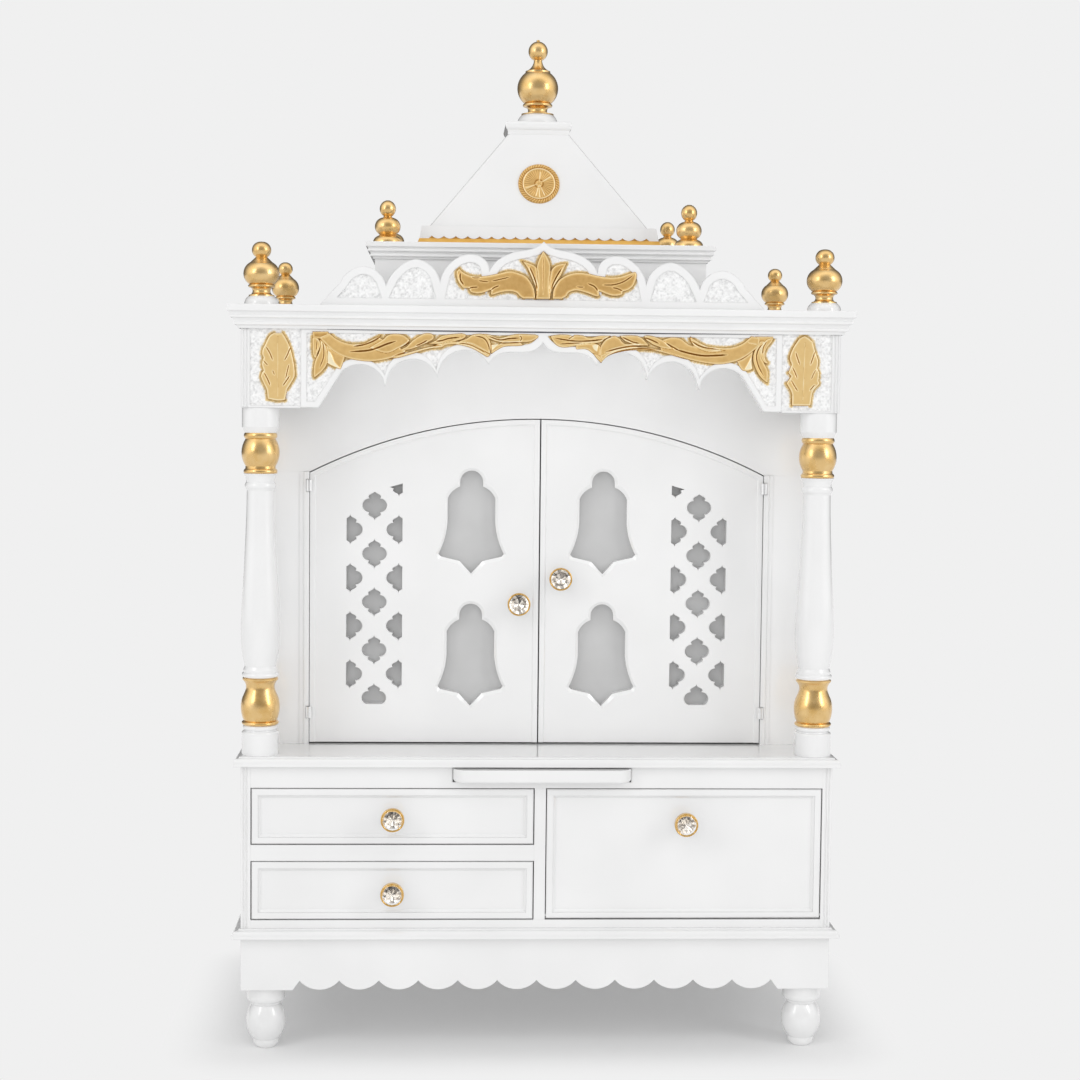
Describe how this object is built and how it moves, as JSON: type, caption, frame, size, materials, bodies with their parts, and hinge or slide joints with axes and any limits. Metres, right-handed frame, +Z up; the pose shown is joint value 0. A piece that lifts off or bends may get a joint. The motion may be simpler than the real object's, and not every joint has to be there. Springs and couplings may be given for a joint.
{
  "type": "pooja mandir",
  "caption": "Free-standing home shrine with arched pierced doors, turned columns, scalloped canopy, stepped roof and a drawer base on turned feet.",
  "frame": {"origin": "on the floor, under the centre of the whole piece's bounding box", "axes": "+Z up, +X to the right of someone facing the doors, the doors face -Y"},
  "size_m": [0.764, 0.469, 1.2795],
  "materials": {
    "white_lacquer": "gloss white enamel lacquer on board and turned wood",
    "gilt_turning": "metallic gold leaf paint on turned wood",
    "gold_carving": "satin gold paint on carved wood",
    "brass": "polished",
    "crystal": "clear faceted",
    "frosted_screen": "frosted grey acrylic",
    "steel_pin": "satin"
  },
  "bodies": {
    "carcass": {"arch_head": "white_lacquer", "back_panels": "white_lacquer", "back_skirt": "white_lacquer", "base_moulding": "white_lacquer", "cabinet_boards": "white_lacquer", "cabinet_sides": "white_lacquer", "canopy_boards": "white_lacquer", "column_bulbs": "gilt_turning", "columns": "white_lacquer", "compartment_divider": "white_lacquer", "corner_blocks": "white_lacquer", "counter_top": "white_lacquer", "crest_carving": "gold_carving", "door_jambs": "white_lacquer", "feet": "white_lacquer", "finial_pedestals": "white_lacquer", "finials": "gilt_turning", "flap_pivots": "steel_pin", "frame_rails": "white_lacquer", "frame_stiles": "white_lacquer", "front_crest": "white_lacquer", "front_skirt": "white_lacquer", "front_valance": "white_lacquer", "front_wall_panels": "white_lacquer", "hinge_barrels": "steel_pin", "main_cornice": "white_lacquer", "roof_base": "white_lacquer", "roof_border": "gold_carving", "roof_cap": "white_lacquer", "roof_medallion": "gold_carving", "roof_pyramid": "white_lacquer", "shrine_sides": "white_lacquer", "side_friezes": "white_lacquer", "side_skirts": "white_lacquer", "top_finial": "gilt_turning", "tray_runners": "white_lacquer", "upper_cornice": "white_lacquer", "upper_tier": "white_lacquer", "valance_carving": "gold_carving"},
    "left_door": {"left_door": "white_lacquer", "left_door_screen": "frosted_screen", "left_door_knob_cup": "brass", "left_door_knob_crystal": "crystal"},
    "right_door": {"right_door": "white_lacquer", "right_door_screen": "frosted_screen", "right_door_knob_cup": "brass", "right_door_knob_crystal": "crystal"},
    "upper_drawer": {"upper_drawer_front": "white_lacquer", "upper_drawer_box": "white_lacquer", "upper_drawer_knob_cup": "brass", "upper_drawer_knob_crystal": "crystal"},
    "lower_drawer": {"lower_drawer_front": "white_lacquer", "lower_drawer_box": "white_lacquer", "lower_drawer_knob_cup": "brass", "lower_drawer_knob_crystal": "crystal"},
    "drop_flap": {"drop_flap": "white_lacquer", "flap_knob_cup": "brass", "flap_knob_crystal": "crystal"},
    "tray": {"pull_out_tray": "white_lacquer"}
  },
  "joints": [
    {"name": "left_door_hinge", "type": "hinge", "parent": "carcass", "child": "left_door", "pos_m": [-0.289, -0.1125, 0.55], "axis": [0, 0, -1], "range_deg": [0, 95]},
    {"name": "right_door_hinge", "type": "hinge", "parent": "carcass", "child": "right_door", "pos_m": [0.289, -0.1125, 0.55], "axis": [0, 0, 1], "range_deg": [0, 95]},
    {"name": "upper_drawer_slide", "type": "slide", "parent": "carcass", "child": "upper_drawer", "axis": [0, -1, 0], "range_m": [0, 0.28]},
    {"name": "lower_drawer_slide", "type": "slide", "parent": "carcass", "child": "lower_drawer", "axis": [0, -1, 0], "range_m": [0, 0.28]},
    {"name": "flap_hinge", "type": "hinge", "parent": "carcass", "child": "drop_flap", "pos_m": [0.18, -0.2025, 0.1712], "axis": [1, 0, 0], "range_deg": [0, 90]},
    {"name": "tray_slide", "type": "slide", "parent": "carcass", "child": "tray", "axis": [0, -1, 0], "range_m": [0, 0.2]}
  ]
}
